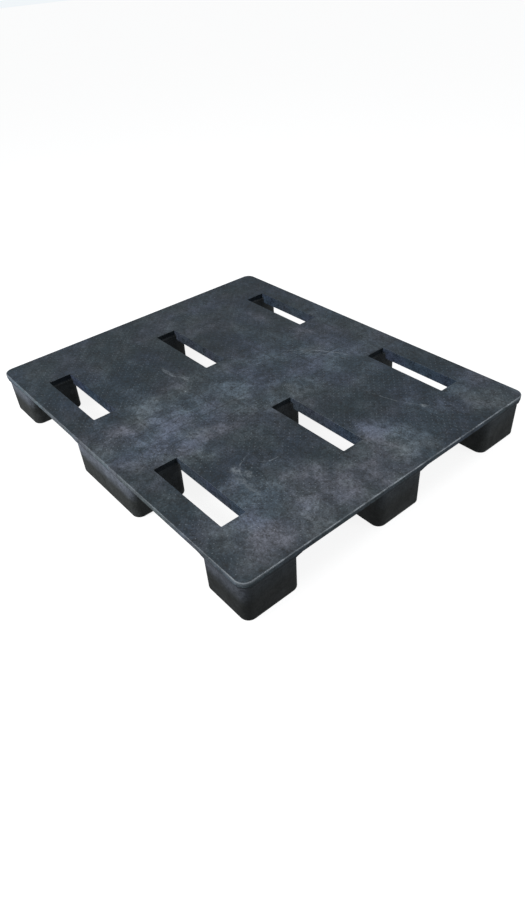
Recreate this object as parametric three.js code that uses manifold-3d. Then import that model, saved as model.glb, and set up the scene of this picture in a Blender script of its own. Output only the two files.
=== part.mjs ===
// Closed-deck plastic pallet on nine block legs, in millimetres, +Z up.
// The origin is on the floor under the middle of the deck. X runs along the 1200 side, and the six
// slots run with it. A ribbed deck moulding rests on nine hollow legs, each welded on along its top
// flange, and four steel tubes lie over the leg rows, trapped between the deck and the legs.
import * as THREE from 'three';
import { mergeVertices } from 'three/addons/utils/BufferGeometryUtils.js';
import Module from 'manifold-3d';

const wasm = await Module();
wasm.setup();

// Driving dimensions.
const LENGTH = 1200;
const WIDTH = 1000;
const HEIGHT = 130;
const GAP = 0.3; // clearance between two pieces that touch

const DECK = {
  cornerRadius: 28,
  plate: 5,
  lipDepth: 15,
  lipWall: 5,
  edgeRadius: 2.5,
  ribDepth: 34, // from the top face down to the rib edges
  rib: 4,
  skirtInset: 24, // from the lip's outer face to the outermost ribs
};
const SLOT = { length: 278, width: 70, firstX: 152, centreY: 388.5 };
const LEG = {
  inset: 5.5, // outer faces behind the lip, at the top of the leg
  sideLength: 157, // along X, at both ends of the pallet
  middleLength: 299,
  sideWidth: 159, // along Y, in the front and back rows
  middleWidth: 161,
  cornerRadius: 24,
  wall: 4.5,
  sole: 5,
  rib: 3.5,
  draftDegrees: 0.5,
  soleRadius: 3.5,
  flange: 14, // how far the flange reaches out, and the radius of the fillet under it
  flangeEdge: 2.5,
  flangeFromLip: 1.5, // how far the flange stays behind the lip's outer face
};
const TUBE = { size: 20, wall: 1.5, cornerRadius: 2, length: 1140 };
const CHANNEL_CELLS_X = 3; // rib cells across a fork channel, along X
const CHANNEL_CELLS_Y = 4;
const SIDE_LEG_CELLS = 2; // rib cells along a leg
const MIDDLE_LEG_CELLS = 6;
const OVERSHOOT = 20; // how far a cutting tool runs past the face it cuts

// Levels and places worked out from them.
const lipBottom = HEIGHT - DECK.lipDepth;
const plateBottom = HEIGHT - DECK.plate;
const ribBottom = HEIGHT - DECK.ribDepth;
const legTop = lipBottom - GAP;
const slotX = SLOT.firstX + SLOT.length / 2;
const sideLegX = LENGTH / 2 - LEG.inset - LEG.sideLength / 2;
const sideLegY = WIDTH / 2 - LEG.inset - LEG.sideWidth / 2;
const skirtX = LENGTH / 2 - DECK.skirtInset;
const skirtY = WIDTH / 2 - DECK.skirtInset;
const slotOuterY = SLOT.centreY + SLOT.width / 2 + DECK.rib;
const slotInnerY = SLOT.width / 2 + DECK.rib;
const tubeTop = plateBottom - GAP;
const tubeZ = tubeTop - TUBE.size / 2;

const COLUMNS = [
  { name: 'left', x: -sideLegX, length: LEG.sideLength, cells: SIDE_LEG_CELLS },
  { name: 'middle', x: 0, length: LEG.middleLength, cells: MIDDLE_LEG_CELLS },
  { name: 'right', x: sideLegX, length: LEG.sideLength, cells: SIDE_LEG_CELLS },
];
const ROWS = [
  { name: 'front', y: -sideLegY, width: LEG.sideWidth },
  { name: 'centre', y: 0, width: LEG.middleWidth },
  { name: 'back', y: sideLegY, width: LEG.sideWidth },
];
// Each tube lies in the strip between a row's slots and that row's edge.
const outerTubeY = (slotOuterY + skirtY - DECK.rib / 2) / 2;
const innerTubeY = (slotInnerY + LEG.middleWidth / 2) / 2;
const TUBES = [
  { name: 'steel_tube_front', y: -outerTubeY },
  { name: 'steel_tube_centre_front', y: -innerTubeY },
  { name: 'steel_tube_centre_back', y: innerTubeY },
  { name: 'steel_tube_back', y: outerTubeY },
];
const SLOTS = [-slotX, slotX].flatMap((x) => [-SLOT.centreY, 0, SLOT.centreY].map((y) => ({ x, y })));

const PLASTIC = { color: 0x2f353c, roughness: 0.62, metalness: 0 };
const LEG_PLASTIC = { color: 0x2b3036, roughness: 0.66, metalness: 0 };
const GALVANISED = { color: 0x9a9da0, roughness: 0.4, metalness: 1 };

// ---- Solids ----

function toSolid(geometry) {
  const bare = geometry.clone();
  bare.deleteAttribute('normal');
  bare.deleteAttribute('uv');
  const welded = mergeVertices(bare, 1e-4);
  return new wasm.Manifold(
    new wasm.Mesh({
      numProp: 3,
      vertProperties: new Float32Array(welded.attributes.position.array),
      triVerts: new Uint32Array(welded.index.array),
    }),
  );
}

function toGeometry(solid) {
  const mesh = solid.getMesh();
  const geometry = new THREE.BufferGeometry();
  geometry.setAttribute('position', new THREE.BufferAttribute(new Float32Array(mesh.vertProperties), 3));
  geometry.setIndex(new THREE.BufferAttribute(new Uint32Array(mesh.triVerts), 1));
  geometry.computeVertexNormals();
  return geometry;
}

// A block between two opposite corners.
function block(low, high) {
  const size = high.map((value, axis) => value - low[axis]);
  const middle = high.map((value, axis) => (value + low[axis]) / 2);
  return toSolid(new THREE.BoxGeometry(...size).translate(...middle));
}

function roundedRect(length, width, radius) {
  const x = length / 2 - radius;
  const y = width / 2 - radius;
  const shape = new THREE.Shape();
  shape.absarc(x, y, radius, 0, Math.PI / 2);
  shape.absarc(-x, y, radius, Math.PI / 2, Math.PI);
  shape.absarc(-x, -y, radius, Math.PI, 1.5 * Math.PI);
  shape.absarc(x, -y, radius, 1.5 * Math.PI, 2 * Math.PI);
  return shape;
}

// A rounded rectangle standing on a wall profile. Each profile step gives a height and how far the
// outline is grown there, so drafts, rounded edges and fillets are all part of one closed body.
function profiledBox({ length, width, radius, profile }) {
  const steps = profile.length - 1;
  const geometry = new THREE.ExtrudeGeometry(roundedRect(length, width, radius), {
    depth: steps,
    steps,
    bevelEnabled: false,
    curveSegments: 4,
  });
  const position = geometry.attributes.position;
  const core = new THREE.Vector2(length / 2 - radius, width / 2 - radius);
  for (let i = 0; i < position.count; i += 1) {
    const point = new THREE.Vector2(position.getX(i), position.getY(i));
    const centre = point.clone().clamp(core.clone().negate(), core);
    const outward = point.clone().sub(centre).normalize();
    const step = profile[Math.round(position.getZ(i))];
    point.addScaledVector(outward, step.grow);
    position.setXYZ(i, point.x, point.y, step.z);
  }
  return toSolid(geometry);
}

// Profile steps round a quarter circle, from one angle to the other.
function arcSteps(centreGrow, centreZ, radius, startDegrees, endDegrees, count) {
  return Array.from({ length: count + 1 }, (_, i) => {
    const angle = THREE.MathUtils.degToRad(THREE.MathUtils.lerp(startDegrees, endDegrees, i / count));
    return { z: centreZ + radius * Math.sin(angle), grow: centreGrow + radius * Math.cos(angle) };
  });
}

// Evenly spaced positions from a to b, both ends included.
function spaced(a, b, cells) {
  return Array.from({ length: cells + 1 }, (_, i) => a + ((b - a) * i) / cells);
}

function slotCutter({ x, y }, margin) {
  const halfX = SLOT.length / 2 + margin;
  const halfY = SLOT.width / 2 + margin;
  return block([x - halfX, y - halfY, -OVERSHOOT], [x + halfX, y + halfY, HEIGHT + OVERSHOOT]);
}

// The space that the tube at y needs, open downwards or upwards so that the tube can be laid in.
function tubeCutter(y, low, high) {
  const halfX = TUBE.length / 2 + GAP;
  const halfY = TUBE.size / 2 + GAP;
  return block([-halfX, y - halfY, low], [halfX, y + halfY, high]);
}

// ---- Deck ----

function ribLinesX() {
  const middleEnd = LEG.middleLength / 2;
  const sideStart = sideLegX - LEG.sideLength / 2;
  const half = [
    ...spaced(0, middleEnd, MIDDLE_LEG_CELLS / 2).slice(1),
    ...spaced(middleEnd, sideStart, CHANNEL_CELLS_X).slice(1),
    sideLegX,
    skirtX,
  ];
  return [0, ...half, ...half.map((x) => -x)];
}

function ribLinesY() {
  const middleEdge = LEG.middleWidth / 2;
  const sideStart = sideLegY - LEG.sideWidth / 2;
  const half = [...spaced(middleEdge, sideStart, CHANNEL_CELLS_Y), sideLegY, skirtY];
  return [0, ...half, ...half.map((y) => -y)];
}

// The ribs under the plate: a lattice that reaches from the skirt on one side to the skirt on the
// other, and a collar round each slot.
function deckRibs() {
  const half = DECK.rib / 2;
  const endX = skirtX + half;
  const endY = skirtY + half;
  const top = plateBottom + 1; // runs a little into the plate, so that the two join
  const alongY = ribLinesX().map((x) => block([x - half, -endY, ribBottom], [x + half, endY, top]));
  const alongX = ribLinesY().map((y) => block([-endX, y - half, ribBottom], [endX, y + half, top]));
  const depth = block([-LENGTH, -WIDTH, ribBottom], [LENGTH, WIDTH, top]);
  const collars = SLOTS.map((slot) => slotCutter(slot, DECK.rib).intersect(depth));
  return wasm.Manifold.union([...alongY, ...alongX, ...collars]);
}

// The room a leg and its flange need below the lip's lower edge.
function legRoom(column, row) {
  const margin = LEG.flange + GAP;
  return profiledBox({
    length: column.length,
    width: row.width,
    radius: LEG.cornerRadius,
    profile: [
      { z: -OVERSHOOT, grow: margin },
      { z: lipBottom, grow: margin },
    ],
  }).translate([column.x, row.y, 0]);
}

function deck() {
  const edge = DECK.edgeRadius;
  const shell = profiledBox({
    length: LENGTH,
    width: WIDTH,
    radius: DECK.cornerRadius,
    profile: [{ z: lipBottom, grow: 0 }, ...arcSteps(-edge, HEIGHT - edge, edge, 0, 90, 2)],
  });
  const hollow = profiledBox({
    length: LENGTH,
    width: WIDTH,
    radius: DECK.cornerRadius,
    profile: [
      { z: lipBottom - OVERSHOOT, grow: -DECK.lipWall },
      { z: plateBottom, grow: -DECK.lipWall },
    ],
  });
  const legRooms = COLUMNS.flatMap((column) => ROWS.map((row) => legRoom(column, row)));
  const tubeRooms = TUBES.map(({ y }) => tubeCutter(y, ribBottom - OVERSHOOT, plateBottom));
  const slots = SLOTS.map((slot) => slotCutter(slot, 0));
  const ribs = deckRibs().subtract(wasm.Manifold.union([...legRooms, ...tubeRooms]));
  return shell.subtract(hollow).add(ribs).subtract(wasm.Manifold.union(slots));
}

// ---- Legs ----

// How far the outside wall stands from the leg's outline at height z, from the draft alone.
function draftAt(z) {
  return -(legTop - z) * Math.tan(THREE.MathUtils.degToRad(LEG.draftDegrees));
}

function legOutside(column, row) {
  const filletFoot = legTop - LEG.flangeEdge - LEG.flange;
  const soleEdge = draftAt(LEG.soleRadius) - LEG.soleRadius;
  const sole = arcSteps(soleEdge, LEG.soleRadius, LEG.soleRadius, -90, 0, 2);
  const fillet = arcSteps(LEG.flange, filletFoot, LEG.flange, 180, 90, 3);
  return profiledBox({
    length: column.length,
    width: row.width,
    radius: LEG.cornerRadius,
    profile: [...sole, ...fillet, { z: legTop, grow: LEG.flange }],
  }).translate([column.x, row.y, 0]);
}

function legHollow(column, row) {
  const floor = LEG.sole;
  return profiledBox({
    length: column.length,
    width: row.width,
    radius: LEG.cornerRadius,
    profile: [
      { z: floor, grow: draftAt(floor) - LEG.wall },
      { z: legTop + OVERSHOOT, grow: draftAt(legTop) - LEG.wall },
    ],
  }).translate([column.x, row.y, 0]);
}

// Upright ribs inside a leg, under the deck's own rib lines.
function legRibs(column, row) {
  const half = LEG.rib / 2;
  const endX = column.length / 2 - LEG.wall / 2;
  const endY = row.width / 2 - LEG.wall / 2;
  const low = LEG.sole / 2;
  const lines = spaced(-column.length / 2, column.length / 2, column.cells).slice(1, -1);
  const cross = lines.map((x) => block([x - half, -endY, low], [x + half, endY, legTop]));
  const spine = block([-endX, -half, low], [endX, half, legTop]);
  return wasm.Manifold.union([spine, ...cross]).translate([column.x, row.y, 0]);
}

function leg(column, row) {
  const outside = legOutside(column, row);
  const inLip = profiledBox({
    length: LENGTH,
    width: WIDTH,
    radius: DECK.cornerRadius,
    profile: [
      { z: -OVERSHOOT, grow: -LEG.flangeFromLip },
      { z: HEIGHT, grow: -LEG.flangeFromLip },
    ],
  });
  const walls = outside.subtract(legHollow(column, row)).add(legRibs(column, row).intersect(outside));
  const notches = TUBES.map(({ y }) => tubeCutter(y, tubeZ - TUBE.size / 2 - GAP, HEIGHT));
  const slots = SLOTS.map((slot) => slotCutter(slot, 0));
  return walls.intersect(inLip).subtract(wasm.Manifold.union([...notches, ...slots]));
}

// ---- Tubes ----

function steelTube(y) {
  const outline = roundedRect(TUBE.size, TUBE.size, TUBE.cornerRadius);
  const bore = TUBE.size - 2 * TUBE.wall;
  outline.holes.push(roundedRect(bore, bore, TUBE.cornerRadius - TUBE.wall));
  const geometry = new THREE.ExtrudeGeometry(outline, {
    depth: TUBE.length,
    bevelEnabled: false,
    curveSegments: 3,
  });
  geometry.translate(0, 0, -TUBE.length / 2);
  geometry.rotateY(Math.PI / 2);
  geometry.translate(0, y, tubeZ);
  return geometry;
}

// ---- Assembly ----

const pallet = new THREE.Group();

function addPiece(name, geometry, finish) {
  const mesh = new THREE.Mesh(geometry, new THREE.MeshStandardMaterial(finish));
  mesh.name = name;
  pallet.add(mesh);
}

addPiece('deck', toGeometry(deck()), PLASTIC);
for (const row of ROWS) {
  for (const column of COLUMNS) {
    addPiece(`leg_${row.name}_${column.name}`, toGeometry(leg(column, row)), LEG_PLASTIC);
  }
}
for (const { name, y } of TUBES) {
  addPiece(name, steelTube(y), GALVANISED);
}

export default pallet;
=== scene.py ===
"""Looks of the closed-deck plastic pallet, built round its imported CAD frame. Metres, +Z up."""

import math

import bmesh
import bpy
from mathutils import Matrix, Vector


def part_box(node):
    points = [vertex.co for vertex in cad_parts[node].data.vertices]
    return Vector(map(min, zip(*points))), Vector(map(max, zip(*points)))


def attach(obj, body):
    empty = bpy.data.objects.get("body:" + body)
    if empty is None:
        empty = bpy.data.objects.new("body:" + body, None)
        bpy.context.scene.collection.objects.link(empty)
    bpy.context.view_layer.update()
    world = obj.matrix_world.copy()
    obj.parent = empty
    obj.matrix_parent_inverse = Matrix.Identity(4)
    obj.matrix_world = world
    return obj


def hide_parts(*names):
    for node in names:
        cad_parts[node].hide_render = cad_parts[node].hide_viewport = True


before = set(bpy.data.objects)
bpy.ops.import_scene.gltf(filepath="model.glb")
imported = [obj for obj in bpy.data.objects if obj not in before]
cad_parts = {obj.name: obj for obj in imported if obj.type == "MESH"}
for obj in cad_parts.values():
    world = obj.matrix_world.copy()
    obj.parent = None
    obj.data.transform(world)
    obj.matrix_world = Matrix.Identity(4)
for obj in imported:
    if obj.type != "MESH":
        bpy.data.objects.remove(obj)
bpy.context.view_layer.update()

MM = 0.001

# Overall sizes, read from the frame.
DECK_LOW, DECK_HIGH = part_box("deck")
HALF_LENGTH = DECK_HIGH.x
HALF_WIDTH = DECK_HIGH.y
DECK_TOP = DECK_HIGH.z
RIB_BOTTOM = DECK_LOW.z

# Moulding details, as in the CAD deck.
DECK_CORNER = 28 * MM
PLATE = 5 * MM
LIP_DEPTH = 15 * MM
LIP_WALL = 5 * MM
LIP_EDGE = 2.5 * MM
RIB = 4 * MM
SKIRT_INSET = 24 * MM
SLOT_FIRST_X = 152 * MM
SLOT_LENGTH = 278 * MM
SLOT_WIDTH = 70 * MM
SLOT_CENTRE_Y = 388.5 * MM
SLOT_ROWS = (-SLOT_CENTRE_Y, 0, SLOT_CENTRE_Y)
PLATE_BOTTOM = DECK_TOP - PLATE
LIP_BOTTOM = DECK_TOP - LIP_DEPTH

# Moulding details that only the finished surface has.
LIP_FOOT_EDGE = 1 * MM
SLOT_CORNER = 2.5 * MM
SLOT_EDGE = 1.6 * MM
POCKET_CORNER = 3 * MM
POCKET_FILLET = 1.5 * MM
RIB_TAPER = 0.5 * MM  # how much each side of a rib thins from root to edge
INNER_CORNER = 6 * MM

# Legs.
ROWS = ("front", "centre", "back")
COLUMNS = ("left", "middle", "right")
LEG_CELLS = {"left": 2, "middle": 6, "right": 2}
LEG_INSET = 5.5 * MM
LEG_CORNER = 24 * MM
LEG_WALL = 4.5 * MM
LEG_SOLE = 5 * MM
LEG_RIB = 3.5 * MM
LEG_DRAFT = math.radians(0.5)
SOLE_EDGE = 3.5 * MM
FLANGE = 14 * MM  # how far the flange reaches out, and the radius of the fillet under it
FLANGE_EDGE = 2.5 * MM
FLANGE_FROM_LIP = 1.5 * MM
GAP = 0.3 * MM
CHANNEL_CELLS_X = 3
CHANNEL_CELLS_Y = 4

# Steel tubes.
TUBES = ("steel_tube_front", "steel_tube_centre_front", "steel_tube_centre_back", "steel_tube_back")
TUBE_WALL = 1.5 * MM
TUBE_CORNER = 2 * MM
TUBE_BURR = 0.3 * MM  # chamfer at each cut end

# Low pips moulded on the deck's top, in staggered rows.
PIP_PITCH = 20.3 * MM
PIP_START = (-6 * MM, 0)
PIP_RADIUS = 2 * MM
PIP_CROWN = 1.3 * MM  # radius of the flat on top
PIP_HEIGHT = 0.3 * MM
PIP_MARGIN = 8 * MM  # bare strip round the deck's outline and each slot
PIP_SIDES = 8

OVERSHOOT = 20 * MM  # how far a cutting tool runs past the face it cuts
FINE = 12  # segments in each rounded corner that shows
COARSE = 4  # segments in each rounded corner under the deck
SHARP_ANGLE = math.radians(35)  # edges bent further than this stay crisp


# ---- Mesh tools ----


def arc_steps(centre_grow, centre_z, radius, start, end, count):
    """Profile steps (z, grow) round part of a circle. Angles are in degrees."""
    steps = []
    for i in range(count + 1):
        angle = math.radians(start + (end - start) * i / count)
        steps.append((centre_z + radius * math.sin(angle), centre_grow + radius * math.cos(angle)))
    return steps


def add_profiled_box(bm, low, high, radius, profile, segments):
    """Adds a rounded rectangle from low to high in plan, standing on a wall profile.

    Each profile step gives a height and how far the outline is grown there.
    """
    core_low = (low[0] + radius, low[1] + radius)
    core_high = (high[0] - radius, high[1] - radius)
    quarters = (
        (core_high[0], core_high[1], 0),
        (core_low[0], core_high[1], 90),
        (core_low[0], core_low[1], 180),
        (core_high[0], core_low[1], 270),
    )
    rings = []
    for z, grow in profile:
        ring = []
        for x, y, start in quarters:
            for i in range(segments + 1):
                angle = math.radians(start + 90 * i / segments)
                reach = radius + grow
                ring.append(bm.verts.new((x + reach * math.cos(angle), y + reach * math.sin(angle), z)))
        rings.append(ring)
    close_rings(bm, rings)


def close_rings(bm, rings):
    """Skins a stack of rings of vertices, lowest first, and caps both ends."""
    for lower, upper in zip(rings, rings[1:]):
        for i, vert in enumerate(lower):
            j = (i + 1) % len(lower)
            bm.faces.new((vert, lower[j], upper[j], upper[i]))
    bm.faces.new(reversed(rings[0]))
    bm.faces.new(rings[-1])


def add_block(bm, low, high):
    """Adds a block between two opposite corners."""
    plan = [(low[0], low[1]), (high[0], low[1]), (high[0], high[1]), (low[0], high[1])]
    close_rings(bm, [[bm.verts.new((x, y, z)) for x, y in plan] for z in (low[2], high[2])])


def to_object(bm, name):
    """Makes an object of the mesh being built, and puts it in the scene."""
    mesh = bpy.data.meshes.new(name)
    bm.to_mesh(mesh)
    bm.free()
    piece = bpy.data.objects.new(name, mesh)
    bpy.context.scene.collection.objects.link(piece)
    return piece


def profiled_box(name, low, high, radius, profile, segments):
    """The same rounded box, as an object of its own."""
    bm = bmesh.new()
    add_profiled_box(bm, low, high, radius, profile, segments)
    return to_object(bm, name)


def combine(piece, operation, tool):
    """Joins, cuts or intersects piece with tool, and deletes tool."""
    modifier = piece.modifiers.new("combine", "BOOLEAN")
    modifier.operation = operation
    modifier.solver = "MANIFOLD"
    modifier.object = tool
    graph = bpy.context.evaluated_depsgraph_get()
    result = bpy.data.meshes.new_from_object(piece.evaluated_get(graph))
    piece.modifiers.clear()
    old_mesh = piece.data
    piece.data = result
    bpy.data.meshes.remove(old_mesh)
    tool_mesh = tool.data
    bpy.data.objects.remove(tool)
    bpy.data.meshes.remove(tool_mesh)


def smooth(piece):
    """Smooth shading with crisp corners, weighted so that large flats stay flat."""
    piece.data.shade_smooth()
    piece.data.set_sharp_from_angle(angle=SHARP_ANGLE)
    modifier = piece.modifiers.new("weighted_normals", "WEIGHTED_NORMAL")
    modifier.keep_sharp = True


def spaced(a, b, cells):
    """Evenly spaced positions from a to b, both ends included."""
    return [a + (b - a) * i / cells for i in range(cells + 1)]


# ---- Layout worked out from the frame ----


def leg_outline(row, column):
    """Plan corners of a leg's own faces, without the flange round its top."""
    low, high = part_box(f"leg_{row}_{column}")
    corners = []
    for corner, inward in ((low, 1), (high, -1)):
        point = []
        for axis, half in ((0, HALF_LENGTH), (1, HALF_WIDTH)):
            edge = corner[axis]
            if abs(edge) > half - FLANGE:
                point.append(math.copysign(half - LEG_INSET, edge))
            else:
                point.append(edge + inward * FLANGE)
        corners.append(point)
    return corners


def slots():
    """Plan corners of the six slots."""
    found = []
    for side in (-1, 1):
        ends = sorted((side * SLOT_FIRST_X, side * (SLOT_FIRST_X + SLOT_LENGTH)))
        for y in SLOT_ROWS:
            found.append(((ends[0], y - SLOT_WIDTH / 2), (ends[1], y + SLOT_WIDTH / 2)))
    return found


def mirrored(positive):
    """The given positions, their opposites and 0, in order."""
    return sorted([-value for value in positive] + [0] + list(positive))


MIDDLE_LEG = leg_outline("centre", "middle")[1]
CORNER_LEG = leg_outline("back", "right")
SIDE_LEG_CENTRE = [(a + b) / 2 for a, b in zip(*CORNER_LEG)]
SKIRT = (HALF_LENGTH - SKIRT_INSET, HALF_WIDTH - SKIRT_INSET)
RIB_LINES_X = mirrored(
    spaced(0, MIDDLE_LEG[0], LEG_CELLS["middle"] // 2)[1:]
    + spaced(MIDDLE_LEG[0], CORNER_LEG[0][0], CHANNEL_CELLS_X)[1:]
    + [SIDE_LEG_CENTRE[0], SKIRT[0]]
)
RIB_LINES_Y = mirrored(
    spaced(MIDDLE_LEG[1], CORNER_LEG[0][1], CHANNEL_CELLS_Y) + [SIDE_LEG_CENTRE[1], SKIRT[1]]
)
RIB_LINES = (("X", RIB_LINES_X), ("Y", RIB_LINES_Y))
HALF_SIZES = (("X", HALF_LENGTH), ("Y", HALF_WIDTH))


# ---- Deck ----


def deck_shell():
    """The closed plate with its lip, open underneath."""
    outline = ((-HALF_LENGTH, -HALF_WIDTH), (HALF_LENGTH, HALF_WIDTH), DECK_CORNER)
    foot = arc_steps(-LIP_FOOT_EDGE, LIP_BOTTOM + LIP_FOOT_EDGE, LIP_FOOT_EDGE, -90, 0, 4)
    head = arc_steps(-LIP_EDGE, DECK_TOP - LIP_EDGE, LIP_EDGE, 0, 90, 6)
    shell = profiled_box("deck_moulding", *outline, foot + head, FINE)
    ceiling = arc_steps(-LIP_WALL - POCKET_FILLET, PLATE_BOTTOM - POCKET_FILLET, POCKET_FILLET, 0, 90, 3)
    inside = [(LIP_BOTTOM - OVERSHOOT, -LIP_WALL)] + ceiling
    combine(shell, "DIFFERENCE", profiled_box("inside", *outline, inside, FINE))
    return shell


def pocket_plans():
    """Plan corners of the cells between ribs, cut back where a slot's collar crosses them."""
    plans = []
    for x0, x1 in zip(RIB_LINES_X, RIB_LINES_X[1:]):
        for y0, y1 in zip(RIB_LINES_Y, RIB_LINES_Y[1:]):
            crossing = [
                slot for slot in slots()
                if slot[0][0] < (x0 + x1) / 2 < slot[1][0] and slot[0][1] < y1 and slot[1][1] > y0
            ]
            if not crossing:
                plans.append(((x0, y0), (x1, y1)))
                continue
            # The collar's own middle lines bound what is left of the cell.
            below = crossing[0][0][1] - RIB / 2
            above = crossing[0][1][1] + RIB / 2
            plans.append(((x0, y0), (x1, below)))
            plans.append(((x0, above), (x1, y1)))
    smallest = RIB + 2 * POCKET_CORNER
    return [plan for plan in plans if plan[1][1] - plan[0][1] > smallest]


def rib_body():
    """The block under the plate, with a moulded pocket for each cell between ribs."""
    low = (-SKIRT[0] - RIB / 2, -SKIRT[1] - RIB / 2)
    high = (SKIRT[0] + RIB / 2, SKIRT[1] + RIB / 2)
    walls = [(RIB_BOTTOM, -RIB_TAPER), (PLATE_BOTTOM + MM, 0)]
    body = profiled_box("rib_body", low, high, INNER_CORNER, walls, COARSE)
    bm = bmesh.new()
    floor = arc_steps(-POCKET_FILLET, PLATE_BOTTOM - POCKET_FILLET, POCKET_FILLET, 0, 90, 2)
    mouth = [(RIB_BOTTOM - MM, RIB_TAPER)]
    inset = RIB / 2
    for (x0, y0), (x1, y1) in pocket_plans():
        low, high = (x0 + inset, y0 + inset), (x1 - inset, y1 - inset)
        add_profiled_box(bm, low, high, POCKET_CORNER, mouth + floor, COARSE)
    combine(body, "DIFFERENCE", to_object(bm, "pockets"))
    bm = bmesh.new()
    margin = FLANGE + GAP
    room = [(-OVERSHOOT, margin), (LIP_BOTTOM, margin)]
    for row in ROWS:
        for column in COLUMNS:
            add_profiled_box(bm, *leg_outline(row, column), LEG_CORNER, room, FINE)
    combine(body, "DIFFERENCE", to_object(bm, "leg_rooms"))
    bm = bmesh.new()
    for tube in TUBES:
        low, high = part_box(tube)
        add_block(bm, (low.x - GAP, low.y - GAP, RIB_BOTTOM - OVERSHOOT),
                  (high.x + GAP, high.y + GAP, PLATE_BOTTOM))
    combine(body, "DIFFERENCE", to_object(bm, "tube_rooms"))
    return body


def cut_slots(piece):
    """Cuts the six slots, with their upper edge rounded over."""
    edge = SLOT_EDGE
    bm = bmesh.new()
    rim = arc_steps(edge, DECK_TOP - edge, edge, 180, 90, 5)
    profile = [(-OVERSHOOT, 0)] + rim + [(DECK_TOP + OVERSHOOT, edge)]
    for low, high in slots():
        add_profiled_box(bm, low, high, SLOT_CORNER, profile, COARSE)
    combine(piece, "DIFFERENCE", to_object(bm, "slot_tools"))


def pip_centres():
    """Centres of the pips: a square pattern with one more in the middle of each square."""
    step = PIP_PITCH / 2
    columns = math.ceil(HALF_LENGTH / step)
    rows = math.ceil(HALF_WIDTH / step)
    for i in range(-columns, columns + 1):
        for j in range(-rows, rows + 1):
            x = PIP_START[0] + i * step
            y = PIP_START[1] + j * step
            if (i + j) % 2 or abs(x) > HALF_LENGTH - PIP_MARGIN or abs(y) > HALF_WIDTH - PIP_MARGIN:
                continue
            in_slot = any(
                low[0] - PIP_MARGIN < x < high[0] + PIP_MARGIN
                and low[1] - PIP_MARGIN < y < high[1] + PIP_MARGIN
                for low, high in slots()
            )
            if not in_slot:
                yield x, y


def pips():
    """All the pips, each a low cone with a flat top, sunk a little into the plate."""
    bm = bmesh.new()
    for x, y in pip_centres():
        rings = []
        for radius, height in ((PIP_RADIUS, -PIP_HEIGHT), (PIP_RADIUS, 0), (PIP_CROWN, PIP_HEIGHT)):
            ring = []
            for k in range(PIP_SIDES):
                angle = 2 * math.pi * k / PIP_SIDES
                place = (x + radius * math.cos(angle), y + radius * math.sin(angle), DECK_TOP + height)
                ring.append(bm.verts.new(place))
            rings.append(ring)
        close_rings(bm, rings)
    return to_object(bm, "pips")


def make_deck(material):
    """The deck, with its ribs underneath and its pips on top."""
    deck = deck_shell()
    combine(deck, "UNION", rib_body())
    cut_slots(deck)
    combine(deck, "UNION", pips())
    smooth(deck)
    finish_piece(deck, "deck", material)


# ---- Legs ----


def leg_draft(z):
    """How far a leg's outline is grown at the height z: less than 0 below its top."""
    return -(LIP_BOTTOM - GAP - z) * math.tan(LEG_DRAFT)


def leg_outside(name, low, high):
    """A leg's outer shape, from its rounded sole up to the flange."""
    top = LIP_BOTTOM - GAP
    sole = arc_steps(leg_draft(SOLE_EDGE) - SOLE_EDGE, SOLE_EDGE, SOLE_EDGE, -90, 0, 6)
    fillet = arc_steps(FLANGE, top - FLANGE_EDGE - FLANGE, FLANGE, 180, 90, 10)
    return profiled_box(name, low, high, LEG_CORNER, sole + fillet + [(top, FLANGE)], FINE)


def leg_hollow(low, high):
    """The room inside a leg, open at the top."""
    top = LIP_BOTTOM + OVERSHOOT
    fillet = arc_steps(leg_draft(LEG_SOLE) - LEG_WALL - POCKET_FILLET, LEG_SOLE + POCKET_FILLET,
                       POCKET_FILLET, -90, 0, 3)
    return profiled_box("hollow", low, high, LEG_CORNER, fillet + [(top, -LEG_WALL)], FINE)


def leg_ribs(low, high, cells):
    """Upright ribs inside a leg, under the deck's own rib lines."""
    top = LIP_BOTTOM - GAP
    end = LEG_WALL / 2
    middle_y = (low[1] + high[1]) / 2
    bm = bmesh.new()
    add_block(bm, (low[0] + end, middle_y - LEG_RIB / 2, LEG_SOLE / 2),
              (high[0] - end, middle_y + LEG_RIB / 2, top))
    ribs = to_object(bm, "ribs")
    bm = bmesh.new()
    for x in spaced(low[0], high[0], cells)[1:-1]:
        add_block(bm, (x - LEG_RIB / 2, low[1] + end, LEG_SOLE / 2),
                  (x + LEG_RIB / 2, high[1] - end, top))
    combine(ribs, "UNION", to_object(bm, "cross_ribs"))
    return ribs


def space_inside_lip():
    """The room that a leg's flange has, just inside the deck's outline."""
    high = (HALF_LENGTH - FLANGE_FROM_LIP, HALF_WIDTH - FLANGE_FROM_LIP)
    low = (-high[0], -high[1])
    walls = [(-OVERSHOOT, 0), (DECK_TOP, 0)]
    return profiled_box("space_inside_lip", low, high, DECK_CORNER - FLANGE_FROM_LIP, walls, FINE)


def make_leg(row, column, material):
    """One hollow leg, notched for the tubes above it."""
    node = f"leg_{row}_{column}"
    low, high = leg_outline(row, column)
    leg = leg_outside(node + "_moulding", low, high)
    combine(leg, "DIFFERENCE", leg_hollow(low, high))
    combine(leg, "UNION", leg_ribs(low, high, LEG_CELLS[column]))
    combine(leg, "INTERSECT", space_inside_lip())
    bm = bmesh.new()
    for tube in TUBES:
        tube_low, tube_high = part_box(tube)
        notch_low = tube_low - Vector((GAP, GAP, GAP))
        add_block(bm, notch_low, (tube_high.x + GAP, tube_high.y + GAP, DECK_TOP))
    combine(leg, "DIFFERENCE", to_object(bm, "tube_notches"))
    cut_slots(leg)
    smooth(leg)
    finish_piece(leg, node, material)


# ---- Steel tubes ----


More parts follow.
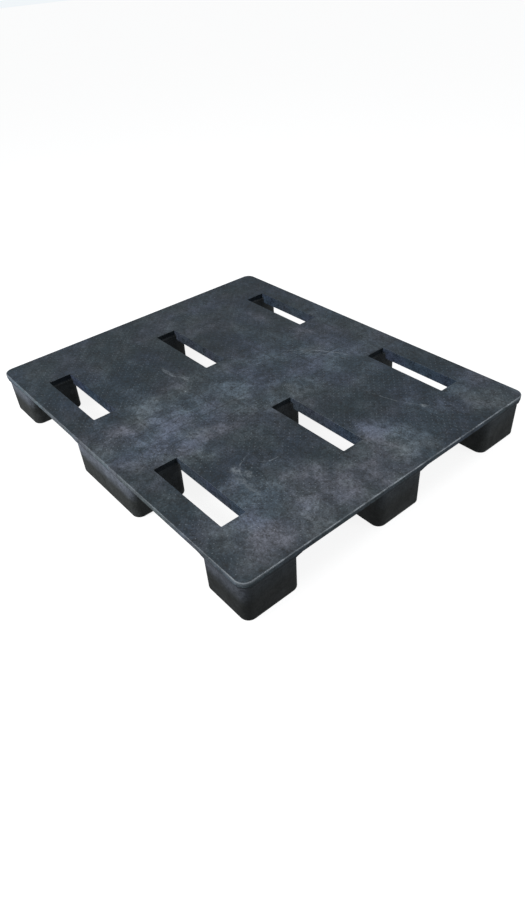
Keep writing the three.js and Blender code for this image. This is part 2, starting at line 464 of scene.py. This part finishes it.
def make_tube(node, material):
    """A square tube with rounded corners, built on end and laid along X."""
    low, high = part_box(node)
    middle = (low + high) / 2
    half = (high.z - low.z) / 2
    length = high.x - low.x
    ends = [(0, -TUBE_BURR), (TUBE_BURR, 0), (length - TUBE_BURR, 0), (length, -TUBE_BURR)]
    tube = profiled_box(node + "_section", (-half, -half), (half, half), TUBE_CORNER, ends, 6)
    bore = half - TUBE_WALL
    through = [(-OVERSHOOT, 0), (length + OVERSHOOT, 0)]
    bore_tool = profiled_box("bore", (-bore, -bore), (bore, bore), TUBE_CORNER - TUBE_WALL, through, 6)
    combine(tube, "DIFFERENCE", bore_tool)
    lay = Matrix.Translation((low.x, middle.y, middle.z)) @ Matrix.Rotation(math.radians(90), 4, "Y")
    tube.data.transform(lay)
    smooth(tube)
    finish_piece(tube, node, material)


def finish_piece(piece, node, material):
    """Gives a piece its material, and lets it stand for its CAD node."""
    piece.data.materials.clear()
    piece.data.materials.append(material)
    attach(piece, "root")
    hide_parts(node)


# ---- Materials ----


class Shader:
    """Shorthand for wiring one material's nodes."""

    def __init__(self, name):
        self.material = bpy.data.materials.new(name)
        self.material.use_nodes = True
        self.nodes = self.material.node_tree.nodes
        self.links = self.material.node_tree.links
        self.nodes.clear()
        self.place = self.node("ShaderNodeTexCoord").outputs["Object"]

    def node(self, kind, inputs=None, **settings):
        """A new node, with each input set to a value or wired to a socket."""
        made = self.nodes.new(kind)
        for key, value in settings.items():
            setattr(made, key, value)
        for key, value in (inputs or {}).items():
            if isinstance(value, bpy.types.NodeSocket):
                self.links.new(value, made.inputs[key])
            else:
                made.inputs[key].default_value = value
        return made

    def noise(self, size, detail=3.0, roughness=0.5, place=None, output="Fac", shift=0.0):
        """Fractal noise from 0 to 1, whose largest blotches measure about size across."""
        place = place or self.place
        if shift:
            place = self.vector("ADD", place, (shift, shift, shift))
        return self.node("ShaderNodeTexNoise", {
            "Vector": place, "Scale": 1 / size, "Detail": detail, "Roughness": roughness,
        }).outputs[output]

    def turned(self, place, degrees, scale):
        """place turned about Z and then scaled along each axis."""
        turned = self.node("ShaderNodeVectorRotate", {"Vector": place, "Angle": math.radians(degrees)})
        return self.vector("MULTIPLY", turned.outputs[0], scale)

    def ramp(self, value, start, end, low=0.0, high=1.0):
        """low below start, high above end, and a smooth step between."""
        return self.node("ShaderNodeMapRange", {
            "Value": value, "From Min": start, "From Max": end, "To Min": low, "To Max": high,
        }, interpolation_type="SMOOTHSTEP").outputs[0]

    def math(self, operation, a, b=0.0, c=0.0):
        return self.node("ShaderNodeMath", {0: a, 1: b, 2: c}, operation=operation).outputs[0]

    def times(self, first, *others):
        """The product of all the values."""
        for other in others:
            first = self.math("MULTIPLY", first, other)
        return first

    def apart(self, a, b):
        """How far apart two values are."""
        return self.math("ABSOLUTE", self.math("SUBTRACT", a, b))

    def vector(self, operation, a, b=(0, 0, 0), output=0):
        return self.node("ShaderNodeVectorMath", {0: a, 1: b}, operation=operation).outputs[output]

    def mix(self, factor, a, b, blend="MIX"):
        return self.node("ShaderNodeMix", {0: factor, 6: a, 7: b}, data_type="RGBA",
                         blend_type=blend).outputs[2]

    def axis(self, name):
        """The position along X, Y or Z."""
        return self.node("ShaderNodeSeparateXYZ", {0: self.place}).outputs[name]

    def normal(self, name):
        """How much the surface faces along X, Y or Z, from -1 to 1."""
        facing = self.node("ShaderNodeNewGeometry").outputs["Normal"]
        return self.node("ShaderNodeSeparateXYZ", {0: facing}).outputs[name]

    def tone(self, layers):
        """A brightness factor round 1, from (noise, weight) layers."""
        total = 1.0
        for noise, weight in layers:
            total = self.math("MULTIPLY_ADD", self.math("SUBTRACT", noise, 0.5), weight, total)
        return self.math("MAXIMUM", total, 0.2)

    def scaled(self, colour, factor):
        """A colour or vector made larger by factor."""
        if isinstance(colour, tuple):
            colour = colour[:3]
        inputs = {0: colour, "Scale": factor}
        return self.node("ShaderNodeVectorMath", inputs, operation="SCALE").outputs[0]

    def bump(self, height, distance, normal=None):
        """A normal tilted by a height from 0 to 1 that stands for distance."""
        inputs = {"Height": height, "Distance": distance, "Strength": 1.0}
        if normal is not None:
            inputs["Normal"] = normal
        return self.node("ShaderNodeBump", inputs).outputs[0]

    def surface(self, **inputs):
        """Finishes the material with one principled shader."""
        named = {key.replace("_", " "): value for key, value in inputs.items()}
        principled = self.node("ShaderNodeBsdfPrincipled", named)
        output = self.node("ShaderNodeOutputMaterial")
        self.links.new(principled.outputs[0], output.inputs["Surface"])
        return self.material


def cool_grey(value, blue=0.0):
    """A linear grey, cooled towards blue by the share blue."""
    return (value * (1 - blue), value, value * (1 + blue), 1)


# Colours, in linear light.
CLEAN_DECK = cool_grey(0.012, 0.60)
DUST = (0.063, 0.077, 0.098, 1)
# Painted shade for the sink lines over the ribs.
SINK_LINE_SHADE = cool_grey(0.012, 0.30)
SCUFFED = cool_grey(0.190, 0.12)
# Worn edges, partly real wear and partly a painted highlight.
RUBBED_EDGE_AND_HIGHLIGHT = cool_grey(0.280, 0.10)
DECK_SPECK = cool_grey(0.450, 0.03)
DECK_UNDERSIDE = cool_grey(0.045, 0.12)
LIP = cool_grey(0.066, 0.30)
# Lip and slot walls: paler painted-light copies for faces turned to the front, darker painted-shade
# copies for the others.
LIP_FRONT_LIT = cool_grey(0.180, 0.20)
SLOT_WALL_SHADED = cool_grey(0.008, 0.30)
SLOT_WALL_FRONT_LIT = (0.048, 0.062, 0.088, 1)
# Painted shade in the joint under the lip.
JOINT_SHADE = cool_grey(0.020, 0.20)
# Painted shade on the legs under the slot ends.
SLOT_SHADE = cool_grey(0.008, 0.30)
# Leg colours near the floor and near the top: painted shade low down, painted light high up.
LEG_LOW_SHADED = (0.036, 0.039, 0.038, 1)
LEG_HIGH_LIT = cool_grey(0.075, 0.18)
# Painted sheen for the front faces of the front legs.
LEG_FRONT_SHEEN = (0.160, 0.178, 0.217, 1)
LEG_SMUDGE = cool_grey(0.070, 0.10)
LEG_SPECK = cool_grey(0.250)
LEG_STREAK = cool_grey(0.070, 0.02)
SOLE = cool_grey(0.050, 0.05)
SOLE_SCRATCH = cool_grey(0.120, 0.03)
STEEL = cool_grey(0.420, 0.03)

# Areas of the deck where dust has settled: centre x and y, reach along x and y, strength.
DUSTY_AREAS = (
    (0.03, 0.00, 0.24, 0.75, 0.55),
    (0.03, -0.29, 0.20, 0.25, 0.90),
    (0.06, 0.26, 0.12, 0.07, 0.72),
    (0.02, 0.22, 0.13, 0.11, 0.70),
    (0.03, -0.02, 0.15, 0.11, 0.68),
    (0.47, -0.30, 0.15, 0.20, 1.02),
    (0.46, 0.24, 0.13, 0.09, 0.32),
    (0.48, 0.08, 0.13, 0.13, 0.98),
    (0.53, -0.06, 0.11, 0.13, 0.80),
    (0.51, 0.42, 0.14, 0.13, 0.68),
    (-0.05, 0.47, 0.35, 0.07, 0.40),
    (-0.47, 0.14, 0.18, 0.26, 0.28),
    (-0.27, 0.24, 0.13, 0.11, 0.38),
    (-0.50, -0.30, 0.17, 0.18, 0.12),
)

# Small pale smudges on the deck, listed the same way.
SMUDGES = (
    (0.302, -0.279, 0.024, 0.014, 0.80),
    (0.362, -0.292, 0.060, 0.010, 0.45),
    (0.332, -0.264, 0.018, 0.010, 0.60),
    (-0.150, -0.118, 0.030, 0.009, 0.60),
    (-0.215, -0.134, 0.050, 0.007, 0.50),
    (0.105, -0.250, 0.022, 0.040, 0.40),
    (0.522, -0.118, 0.024, 0.018, 0.40),
    (0.442, 0.262, 0.012, 0.007, 1.00),
    (-0.010, 0.245, 0.028, 0.016, 0.35),
)

# Scuffs on the deck: three points (x, y) on the arc, how wide it is, and how bright.
SCUFFS = (
    ((-0.051, 0.207), (0.020, 0.272), (0.160, 0.332), 4.5 * MM, 1.00),
    ((-0.038, 0.196), (0.034, 0.256), (0.172, 0.318), 3.5 * MM, 0.85),
    ((0.150, 0.330), (0.180, 0.290), (0.130, 0.240), 3.0 * MM, 0.35),
    ((-0.245, -0.138), (-0.180, -0.132), (-0.126, -0.086), 6.0 * MM, 0.75),
    ((-0.380, -0.186), (-0.310, -0.172), (-0.250, -0.142), 4.0 * MM, 0.35),
    ((0.290, 0.206), (0.385, 0.233), (0.482, 0.291), 4.0 * MM, 0.75),
    ((0.325, -0.150), (0.330, -0.185), (0.312, -0.215), 5.0 * MM, 0.70),
    ((0.270, -0.215), (0.296, -0.262), (0.345, -0.285), 5.0 * MM, 0.60),
    ((0.086, -0.292), (0.115, -0.262), (0.132, -0.215), 7.0 * MM, 0.60),
    ((-0.036, -0.235), (0.000, -0.215), (0.040, -0.210), 4.0 * MM, 0.35),
    ((0.470, -0.402), (0.476, -0.380), (0.478, -0.356), 3.0 * MM, 0.75),
    ((0.487, -0.398), (0.490, -0.380), (0.490, -0.362), 2.5 * MM, 0.50),
)


def circle_through(a, b, c):
    """Centre and radius of the circle through three points."""
    turn = 2 * (a.x * (b.y - c.y) + b.x * (c.y - a.y) + c.x * (a.y - b.y))
    squares = (a.length_squared, b.length_squared, c.length_squared)
    x = (squares[0] * (b.y - c.y) + squares[1] * (c.y - a.y) + squares[2] * (a.y - b.y)) / turn
    y = (squares[0] * (c.x - b.x) + squares[1] * (a.x - c.x) + squares[2] * (b.x - a.x)) / turn
    centre = Vector((x, y))
    return centre, (a - centre).length


def drifting(s, flat, size, detail, roughness, reach):
    """flat moved about at random by up to half of reach, in drifts of about the given size."""
    drift = s.vector("SUBTRACT", s.noise(size, detail, roughness, flat, "Color"), (0.5, 0.5, 0.5))
    return s.vector("ADD", flat, s.scaled(drift, reach))


def ragged_areas(s, flat, areas, ripple, raggedness):
    """Each area's strength in its middle, falling to 0 round it along a ragged edge.

    ripple is the size of the edge's bays, and raggedness how far it wanders, as a share of that.
    """
    ragged = drifting(s, flat, ripple, 5, 0.6, raggedness * ripple)
    total = 0.0
    for x, y, reach_x, reach_y, strength in areas:
        offset = s.vector("SUBTRACT", ragged, (x, y, 0))
        distance = s.vector("LENGTH", s.vector("DIVIDE", offset, (reach_x, reach_y, 1)), output="Value")
        total = s.math("MAXIMUM", total, s.ramp(distance, 1.15, 0.45, 0, strength))
    return total


def scuffs(s, flat):
    """Thin broken arcs, as listed in SCUFFS."""
    breaks = s.ramp(s.noise(14 * MM, 4, 0.7, flat), 0.36, 0.60)
    wandering = drifting(s, flat, 30 * MM, 2, 0.5, 12 * MM)
    total = 0.0
    for start, middle, end, width, strength in SCUFFS:
        start, middle, end = Vector(start), Vector(middle), Vector(end)
        centre, radius = circle_through(start, middle, end)
        from_centre = s.vector("DISTANCE", wandering, (*centre, 0), "Value")
        off_line = s.apart(from_centre, radius)
        along = s.vector("DISTANCE", flat, (*middle, 0), "Value")
        half = (end - start).length / 2
        mark = s.times(s.ramp(off_line, width / 2, 0), s.ramp(along, 1.15 * half, 0.5 * half), strength)
        total = s.math("MAXIMUM", total, mark)
    return s.times(total, breaks)


def specks(s, spacing, radius, share):
    """Small round specks, in about the given share of cells this far apart."""
    cells = s.node("ShaderNodeTexVoronoi", {"Vector": s.place, "Scale": 1 / spacing})
    draw = s.node("ShaderNodeSeparateColor", {0: cells.outputs["Color"]}).outputs[0]
    round_spot = s.ramp(cells.outputs["Distance"], radius / spacing, 0.4 * radius / spacing)
    return s.times(s.math("LESS_THAN", draw, share), round_spot)


def cell_tone(s):
    """A level from 0 to 1, the same all over each block of cells between the ribs."""
    counts = []
    for name, lines in RIB_LINES:
        count = 0.0
        for line in lines[1:-1:2]:
            count = s.math("ADD", count, s.ramp(s.axis(name), line - 0.1 * MM, line + 0.1 * MM))
        counts.append(count)
    block = s.node("ShaderNodeCombineXYZ", {0: counts[0], 1: counts[1]}).outputs[0]
    return s.node("ShaderNodeTexWhiteNoise", {"Vector": block}, noise_dimensions="2D").outputs["Value"]


def sink_line_shade(s):
    """Faint painted shade along the lines where the ribs underneath have pulled the plate in, clearest
    in the middle.
    """
    total = 0.0
    for name, lines in RIB_LINES:
        along = s.axis(name)
        for line in lines[1:-1]:
            total = s.math("MAXIMUM", total, s.ramp(s.apart(along, line), 1.1 * RIB, 0.1 * RIB))
    broken = s.ramp(s.noise(140 * MM, 3, shift=4.4), 0.40, 0.60, 0.15, 1.0)
    near_middle = s.ramp(s.math("ABSOLUTE", s.axis("X")), 0.30, 0.12, 0.25, 1.0)
    return s.times(total, broken, near_middle)


def outline_distance(s):
    """How far inside the deck's outline a point is."""
    overhang = []
    for name, half in HALF_SIZES:
        beyond = s.math("SUBTRACT", s.math("ABSOLUTE", s.axis(name)), half - DECK_CORNER)
        overhang.append(s.math("MAXIMUM", beyond, 0.0))
    both = s.node("ShaderNodeCombineXYZ", {0: overhang[0], 1: overhang[1]}).outputs[0]
    return s.math("SUBTRACT", DECK_CORNER, s.vector("LENGTH", both, output="Value"))


def edge_wear_and_highlight(s, inside):
    """Rubbed, paler plastic along the deck's upper outline, in broken stretches, partly real wear and
    partly a painted highlight on the rounded edge.

    It is fainter along the front. Near the deck's corners it is unbroken and reaches down the lip.
    """
    near_corner = 1.0
    for name, half in HALF_SIZES:
        reached = s.ramp(s.math("ABSOLUTE", s.axis(name)), half - 110 * MM, half - 30 * MM)
        near_corner = s.times(near_corner, reached)
    near_edge = s.ramp(inside, 3.5 * MM, 0.8 * MM)
    drop = s.math("SUBTRACT", DECK_TOP, s.axis("Z"))
    near_top = s.ramp(drop, s.ramp(near_corner, 0, 1, 4 * MM, 9 * MM), 1 * MM)
    broken = s.ramp(s.noise(45 * MM, 5, 0.7), 0.40, 0.60, 0.25, 1.0)
    away_from_front = s.ramp(s.axis("Y"), 4 * MM - HALF_WIDTH, 10 * MM - HALF_WIDTH, 0.35, 1.0)
    lasting = s.math("MAXIMUM", s.times(broken, away_from_front), s.times(near_corner, 0.6))
    return s.times(near_edge, near_top, lasting)


def front_facing(s):
    """1 on faces turned to the front, 0 on faces turned any other way."""
    return s.ramp(s.normal("Y"), -0.2, -0.9)


def facing_down(s):
    """1 on faces turned to the floor."""
    return s.ramp(s.normal("Z"), -0.4, -0.8)


def deck_sides(s, inside):
    """Colour of the deck's upright faces: its lip, and the darker walls of its slots, with painted light
    on faces turned to the front and painted shade on the rest.
    """
    front = front_facing(s)
    # Painted light on slot walls turned to the front, painted shade on the others.
    slot_walls = s.mix(front, SLOT_WALL_SHADED, SLOT_WALL_FRONT_LIT)
    # Painted light on the front of the lip, with painted shade towards the right.
    right_shade = s.ramp(s.axis("X"), 0.05, 0.30, 1.0, 0.7)
    lip = s.mix(front, LIP, s.scaled(LIP_FRONT_LIT, right_shade))
    # Painted shade along the lip's lower edge.
    lip = s.mix(joint_shade(s), lip, JOINT_SHADE)
    return s.mix(s.ramp(inside, 8 * MM, 4 * MM), slot_walls, lip)


def joint_shade(s):
    """Painted shade along the joint between the deck's lip and the legs' flanges."""
    return s.ramp(s.apart(s.axis("Z"), LIP_BOTTOM), 3.5 * MM, 1.5 * MM, 0.0, 0.8)


def deck_tint(s):
    """Broad drifts of hue round white, from warmer to bluer and from purple to green."""
    warmth = s.ramp(s.noise(190 * MM, 2, 0.5, shift=5.3), 0.38, 0.62)
    warm_to_blue = s.mix(warmth, (1.08, 1.0, 0.94, 1), (0.93, 0.995, 1.07, 1))
    greenness = s.ramp(s.noise(120 * MM, 2, 0.5, shift=8.9), 0.38, 0.62)
    purple_to_green = s.mix(greenness, (1.035, 0.975, 1.02, 1), (0.97, 1.03, 0.97, 1))
    return s.mix(1.0, warm_to_blue, purple_to_green, "MULTIPLY")


def deck_mottle(s):
    """Mottling of the whole deck, from broad clouds to fine grain."""
    return s.tone((
        (s.noise(260 * MM, 2, 0.5), 0.25),
        (s.noise(40 * MM, 3, 0.6, shift=1.7), 1.15),
        (s.noise(13 * MM, 3, 0.7), 1.8),
        (s.noise(4 * MM, 3, 0.7), 3.2),
    ))


def deck_dust(s, flat, mottle):
    """How dusty the deck is: settled areas broken into patches, with wisps between them."""
    areas = ragged_areas(s, flat, DUSTY_AREAS, 90 * MM, 2.4)
    patches = s.ramp(s.noise(75 * MM, 7, 0.60, shift=3.1), 0.43, 0.60, 0.34, 1.0)
    blocks = s.ramp(cell_tone(s), 0, 1, 0.80, 1.20)
    wisps = s.ramp(s.noise(1.0, 6, 0.66, s.turned(s.place, 35, (12, 19, 12))), 0.46, 0.66, 0, 0.2)
    dust = s.math("ADD", s.times(areas, patches, blocks), wisps)
    return s.math("MULTIPLY_ADD", s.math("SUBTRACT", mottle, 1.0), 0.10, dust)


def deck_marks(s, flat):
    """Smudges and scuffs on the deck."""
    broken = s.ramp(s.noise(9 * MM, 5, 0.75, shift=7.7), 0.36, 0.62)
    smudges = s.times(ragged_areas(s, flat, SMUDGES, 12 * MM, 3.0), broken)
    return s.math("MAXIMUM", smudges, scuffs(s, flat))


def rubbed_pips(s):
    """Paler tops on the pips, more in some places than in others."""
    on_top = s.ramp(s.axis("Z"), DECK_TOP + 0.3 * PIP_HEIGHT, DECK_TOP + PIP_HEIGHT)
    return s.times(on_top, s.ramp(s.noise(70 * MM, 4, 0.7), 0.40, 0.62, 0.05, 0.40))


def deck_plastic():
    """Charcoal plastic under uneven dust, with scuffs, painted shade for sink lines, rubbed edges partly
    painted as a highlight, and painted light and shade on the lip and slot walls.
    """
    s = Shader("deck_plastic")
    flat = s.vector("MULTIPLY", s.place, (1, 1, 0))
    inside = outline_distance(s)
    upright = s.math("SUBTRACT", 1.0, s.math("ABSOLUTE", s.normal("Z")))
    mottle = deck_mottle(s)
    dust = deck_dust(s, flat, mottle)
    colour = s.mix(dust, CLEAN_DECK, DUST)
    colour = s.mix(s.times(upright, 0.85), colour, deck_sides(s, inside))
    colour = s.mix(facing_down(s), colour, DECK_UNDERSIDE)
    colour = s.mix(1.0, colour, deck_tint(s), "MULTIPLY")
    colour = s.scaled(colour, mottle)
    # Painted shade along the sink lines over the ribs.
    colour = s.mix(s.times(sink_line_shade(s), 0.5), colour, SINK_LINE_SHADE)
    colour = s.mix(s.times(deck_marks(s, flat), 0.8), colour, SCUFFED)
    spots = s.math("MAXIMUM", specks(s, 14 * MM, 0.9 * MM, 0.08), specks(s, 45 * MM, 1.6 * MM, 0.12))
    colour = s.mix(s.times(spots, 0.85), colour, DECK_SPECK)
    colour = s.mix(rubbed_pips(s), colour, SCUFFED)
    # Worn edge, partly a painted highlight along the rounded top edge.
    colour = s.mix(s.times(edge_wear_and_highlight(s, inside), 0.9), colour, RUBBED_EDGE_AND_HIGHLIGHT)
    roughness = s.ramp(dust, 0, 1, 0.48, 0.66)
    roughness = s.math("ADD", roughness, s.math("MULTIPLY_ADD", s.noise(20 * MM, 3), 0.3, -0.15))
    fine = s.bump(s.noise(2 * MM, 2, 0.6), 0.12 * MM)
    grain = s.bump(s.noise(9 * MM, 3, 0.6), 0.35 * MM, fine)
    waves = s.bump(s.noise(130 * MM, 1), 1.0 * MM, grain)
    side_gloss = s.ramp(inside, 4 * MM, 8 * MM, 0.3, 0.1)
    gloss = s.ramp(upright, 0, 1, 0.5, side_gloss)
    return s.surface(Base_Color=colour, Roughness=roughness, Normal=waves, Specular_IOR_Level=gloss)


def painted_front_sheen(s):
    """Painted sheen: paler colour high on the front faces of the front row of legs, standing in for the
    reflection of the lit floor.
    """
    height = s.ramp(s.axis("Z"), 50 * MM, 96 * MM)
    front_row = s.ramp(s.axis("Y"), -0.45, -0.40, 1.0, 0.0)
    fainter_left = s.ramp(s.axis("X"), -0.50, -0.30, 0.75, 1.0)
    patches = s.ramp(s.noise(60 * MM, 5, 0.65, shift=6.2), 0.38, 0.60, 0.6, 1.1)
    return s.times(front_facing(s), height, front_row, fainter_left, patches)


def leg_mottle_and_shade(s):
    """Mottling of the legs, with painted shade that makes them darker to the right and most of all at
    the near corner.
    """
    mottle = s.tone((
        (s.noise(80 * MM, 3, 0.6), 0.9),
        (s.noise(16 * MM, 3, 0.7), 1.2),
        (s.noise(4 * MM, 3, 0.7), 1.8),
    ))
    # Painted shade: darker to the right, most of all in the front row.
    right_shade = s.ramp(s.axis("Y"), -0.40, -0.25, 0.52, 0.64)
    return s.times(mottle, s.ramp(s.axis("X"), 0.15, 0.50, 1.0, right_shade))


def low_streaks(s):
    """Level rub marks low on the legs."""
    streaks = s.noise(1.0, 3, 0.6, s.vector("MULTIPLY", s.place, (14, 14, 260)))
    return s.times(s.ramp(streaks, 0.58, 0.70), s.ramp(s.axis("Z"), 45 * MM, 5 * MM, 0, 0.5))


def shade_under_slots(s):
    """Painted shade on the leg faces under the slots' ends."""
    below = 0.0
    for row in SLOT_ROWS:
        off_slot = s.apart(s.axis("Y"), row)
        reached = s.ramp(off_slot, SLOT_WIDTH / 2 + 15 * MM, SLOT_WIDTH / 2, 0.0, 0.8)
        below = s.math("MAXIMUM", below, reached)
    faces_slot = s.ramp(s.math("ABSOLUTE", s.normal("X")), 0.5, 0.9)
    inner = s.ramp(s.math("ABSOLUTE", s.axis("X")), 560 * MM, 500 * MM)
    return s.times(below, faces_slot, inner)


def leg_plastic():
    """Charcoal plastic, painted lighter towards the top, with painted shade under the lip and under the
    slot ends, and scratched soles.
    """
    s = Shader("leg_plastic")
    tone = leg_mottle_and_shade(s)
    # Painted shade low on the legs, fading to painted light towards the top.
    height = s.ramp(s.axis("Z"), 40 * MM, LIP_BOTTOM + 10 * MM)
    colour = s.mix(height, LEG_LOW_SHADED, LEG_HIGH_LIT)
    # Painted sheen high on the front faces of the front legs.
    colour = s.mix(painted_front_sheen(s), colour, LEG_FRONT_SHEEN)
    # Painted shade along the joint under the deck's lip.
    colour = s.mix(joint_shade(s), colour, JOINT_SHADE)
    # Painted shade on the leg faces under the slot ends.
    colour = s.mix(shade_under_slots(s), colour, SLOT_SHADE)
    colour = s.scaled(colour, tone)
    smudges = s.ramp(s.noise(45 * MM, 6, 0.65, shift=2.3), 0.50, 0.66, 0, 0.3)
    colour = s.mix(smudges, colour, s.scaled(LEG_SMUDGE, tone))
    colour = s.mix(s.times(specks(s, 16 * MM, 0.9 * MM, 0.05), 0.6), colour, LEG_SPECK)
    colour = s.mix(low_streaks(s), colour, LEG_STREAK)
    scratches = s.noise(1.0, 4, 0.7, s.turned(s.place, 12, (15, 260, 1)))
    colour = s.mix(facing_down(s), colour, s.mix(s.ramp(scratches, 0.42, 0.62), SOLE, SOLE_SCRATCH))
    roughness = s.ramp(s.noise(30 * MM, 4, 0.6), 0.35, 0.65, 0.46, 0.64)
    fine = s.bump(s.noise(2 * MM, 2, 0.6), 0.10 * MM)
    grain = s.bump(s.noise(10 * MM, 3, 0.6), 0.30 * MM, fine)
    return s.surface(Base_Color=colour, Roughness=roughness, Normal=grain, Specular_IOR_Level=0.3)


def galvanised_steel():
    """Bare zinc with a soft spangle."""
    s = Shader("galvanised_steel")
    crystals = s.node("ShaderNodeTexVoronoi", {"Vector": s.place, "Scale": 1 / (7 * MM)})
    spangle = s.node("ShaderNodeSeparateColor", {0: crystals.outputs["Color"]}).outputs[0]
    tone = s.tone(((spangle, 0.35), (s.noise(60 * MM, 4, 0.6), 0.6)))
    roughness = s.ramp(s.noise(20 * MM, 4), 0.3, 0.7, 0.30, 0.52)
    grain = s.bump(s.noise(2 * MM, 2), 0.04 * MM)
    return s.surface(Base_Color=s.scaled(STEEL, tone), Metallic=1.0, Roughness=roughness, Normal=grain)


# ---- Stage ----

FLOOR_CLEARANCE = 0.3 * MM
FLOOR_GLOW = 0.88  # what the camera sees of the floor even in full shadow
FLOOR_SHADE = 0.24  # how much of the real lighting shows on it
BACKDROP = 0.95
LIGHT_FROM_ABOVE = 0.38
LIGHT_FROM_BELOW = 0.24  # stands in for the floor's bounce, and reaches the underside too
HORIZON = 0.1  # how far either side of level the light changes from one to the other
SKY = (0.93, 0.97, 1.0, 1)
FLOOR_REACH = 20  # metres to each side

# Softboxes: name, place, what they point at, size and power.
SOFTBOXES = (
    ("key", (-0.6, -2.3, 2.0), (0.0, -0.2, 0.0), 1.4, 68),
    ("top", (0.5, 0.1, 3.0), (0.0, 0.0, 0.0), 2.0, 38),
    ("fill", (2.8, 1.6, 1.3), (0.5, 0.2, 0.0), 1.5, 16),
)

# The camera looks down over the near corner, rolled slightly.
CAMERA_PLACE = (1.3364, -0.9864, 1.1581)
CAMERA_AIM = (0.3003, -0.1825, DECK_TOP)
CAMERA_ROLL = math.radians(-4.3)
CAMERA_SENSOR = 36  # width, in mm
CAMERA_LENS = 26.41
CAMERA_SHIFT = (-0.0035, 0.0041)


def studio_floor():
    """Pale with faint shadows from above, and clear from below."""
    s = Shader("studio_floor")
    grain = s.tone(((s.noise(400 * MM, 3), 0.03),))
    shaded = s.node("ShaderNodeBsdfDiffuse", {0: s.scaled(cool_grey(FLOOR_SHADE), grain)}).outputs[0]
    glow = s.node("ShaderNodeEmission", {"Color": cool_grey(FLOOR_GLOW)}).outputs[0]
    seen = s.node("ShaderNodeAddShader", {0: shaded, 1: glow}).outputs[0]
    from_below = s.node("ShaderNodeNewGeometry").outputs["Backfacing"]
    clear = s.node("ShaderNodeBsdfTransparent").outputs[0]
    floor = s.node("ShaderNodeMixShader", {0: from_below, 1: seen, 2: clear}).outputs[0]
    output = s.node("ShaderNodeOutputMaterial")
    s.links.new(floor, output.inputs["Surface"])
    return s.material


def studio_world():
    """A plain backdrop to the camera, and soft light from above and below to the object."""
    world = bpy.data.worlds.new("studio")
    world.use_nodes = True
    nodes = world.node_tree.nodes
    links = world.node_tree.links
    direction = nodes.new("ShaderNodeSeparateXYZ")
    links.new(nodes.new("ShaderNodeTexCoord").outputs["Generated"], direction.inputs[0])
    light = nodes.new("ShaderNodeMapRange")
    light.inputs["From Min"].default_value = -HORIZON
    light.inputs["From Max"].default_value = HORIZON
    light.inputs["To Min"].default_value = LIGHT_FROM_BELOW
    light.inputs["To Max"].default_value = LIGHT_FROM_ABOVE
    links.new(direction.outputs["Z"], light.inputs["Value"])
    brightness = nodes.new("ShaderNodeMix")
    brightness.inputs["B"].default_value = BACKDROP
    links.new(light.outputs[0], brightness.inputs["A"])
    links.new(nodes.new("ShaderNodeLightPath").outputs["Is Camera Ray"], brightness.inputs["Factor"])
    background = nodes["Background"]
    background.inputs["Color"].default_value = SKY
    links.new(brightness.outputs[0], background.inputs["Strength"])
    return world


def make_stage():
    """The floor, which throws no light on the object, and the world round it."""
    bm = bmesh.new()
    bmesh.ops.create_grid(bm, x_segments=2, y_segments=2, size=FLOOR_REACH)
    bmesh.ops.translate(bm, verts=bm.verts, vec=(0, 0, -FLOOR_CLEARANCE))
    floor = to_object(bm, "floor")
    floor.data.materials.append(studio_floor())
    floor.visible_diffuse = False
    floor.visible_glossy = False
    bpy.context.scene.world = studio_world()


def add_softbox(name, place, aim, size, power):
    """A round area light turned to its aim."""
    light = bpy.data.lights.new(name, "AREA")
    light.shape = "DISK"
    light.size = size
    light.energy = power
    lamp = bpy.data.objects.new(name, light)
    lamp.location = place
    lamp.rotation_mode = "QUATERNION"
    lamp.rotation_quaternion = (Vector(aim) - Vector(place)).to_track_quat("-Z", "Y")
    bpy.context.scene.collection.objects.link(lamp)


def make_camera():
    """The camera, made the scene's own."""
    data = bpy.data.cameras.new("camera")
    data.sensor_width = CAMERA_SENSOR
    data.lens = CAMERA_LENS
    data.shift_x, data.shift_y = CAMERA_SHIFT
    camera = bpy.data.objects.new("camera", data)
    place = Vector(CAMERA_PLACE)
    facing = (Vector(CAMERA_AIM) - place).to_track_quat("-Z", "Y").to_matrix()
    turn = facing @ Matrix.Rotation(CAMERA_ROLL, 3, "Z")
    camera.matrix_world = Matrix.Translation(place) @ turn.to_4x4()
    bpy.context.scene.collection.objects.link(camera)
    bpy.context.scene.camera = camera


# ---- Assembly ----

make_deck(deck_plastic())
leg_material = leg_plastic()
for row_name in ROWS:
    for column_name in COLUMNS:
        make_leg(row_name, column_name, leg_material)
tube_material = galvanised_steel()
for tube_name in TUBES:
    make_tube(tube_name, tube_material)

make_stage()
for softbox in SOFTBOXES:
    add_softbox(*softbox)
make_camera()
bpy.context.scene.view_settings.view_transform = "Standard"
